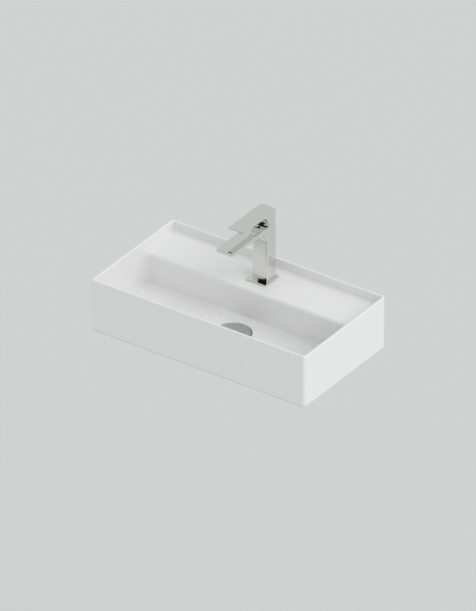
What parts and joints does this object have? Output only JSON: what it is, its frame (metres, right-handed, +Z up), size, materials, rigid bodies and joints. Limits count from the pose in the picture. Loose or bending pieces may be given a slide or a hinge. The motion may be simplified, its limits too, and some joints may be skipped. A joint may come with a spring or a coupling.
{
  "type": "washbasin with mixer tap",
  "caption": "Compact wall-hung rectangular washbasin with a stepped tap ledge, a flat single-lever mixer tap and a round push-open waste, with fixing set and mixing cartridge.",
  "frame": {"origin": "midway between the two wall bolt holes, on the back face that bears on the wall", "axes": "+X to the right seen from the front, +Y into the wall, +Z up"},
  "size_m": [0.55, 0.3, 0.3165],
  "materials": {
    "glazed_white": "satin glaze",
    "chrome": "polished",
    "satin_chrome": "satin",
    "brass": "turned",
    "steel": "plain",
    "rubber": "matt",
    "plastic": "moulded",
    "disc_ceramic": "lapped"
  },
  "bodies": {
    "basin_fixed": {"basin": "glazed_white", "tap_base_seal": "rubber", "tap_base_plate": "chrome", "tap_body": "chrome", "cartridge_seal": "rubber", "cartridge_housing": "plastic", "fixed_disc": "disc_ceramic", "cartridge_nut": "brass", "aerator_ring": "chrome", "aerator_insert": "plastic", "fixing_stud": "steel", "fixing_gasket": "rubber", "fixing_washer": "steel", "fixing_nut": "brass", "waste_body": "chrome", "waste_flange_seal": "rubber", "waste_back_seal": "rubber", "waste_slip_washer": "plastic", "waste_back_nut": "brass", "waste_guide": "plastic", "waste_spring": "steel"},
    "mixer_rotor": {"cartridge_rotor": "plastic", "pivot_pin": "steel"},
    "lever_arm": {"spindle": "steel", "lever": "chrome", "lever_grub_screw": "steel", "lever_plug": "chrome"},
    "disc_slider": {"moving_disc": "disc_ceramic", "disc_carrier": "plastic"},
    "cap_riser": {"waste_stem": "steel", "waste_cap": "satin_chrome", "waste_cap_seal": "rubber"}
  },
  "joints": [
    {"name": "temperature_swivel", "type": "hinge", "parent": "basin_fixed", "child": "mixer_rotor", "pos_m": [0, -0.05475, 0.168], "axis": [0, 0, 1], "range_deg": [-45, 45]},
    {"name": "lever_lift", "type": "hinge", "parent": "mixer_rotor", "child": "lever_arm", "pos_m": [0, -0.05475, 0.168], "axis": [-1, 0, 0], "range_deg": [0, 23]},
    {"name": "disc_slide", "type": "slide", "parent": "mixer_rotor", "child": "disc_slider", "axis": [0, -1, 0], "range_m": [0, 0.00372]},
    {"name": "cap_lift", "type": "slide", "parent": "basin_fixed", "child": "cap_riser", "axis": [0, 0, 1], "range_m": [0, 0.008], "deforming": ["waste_spring"]}
  ],
  "couplings": [
    {"joint": "disc_slide", "follows": "lever_lift", "m_per_rad": 0.009247}
  ]
}
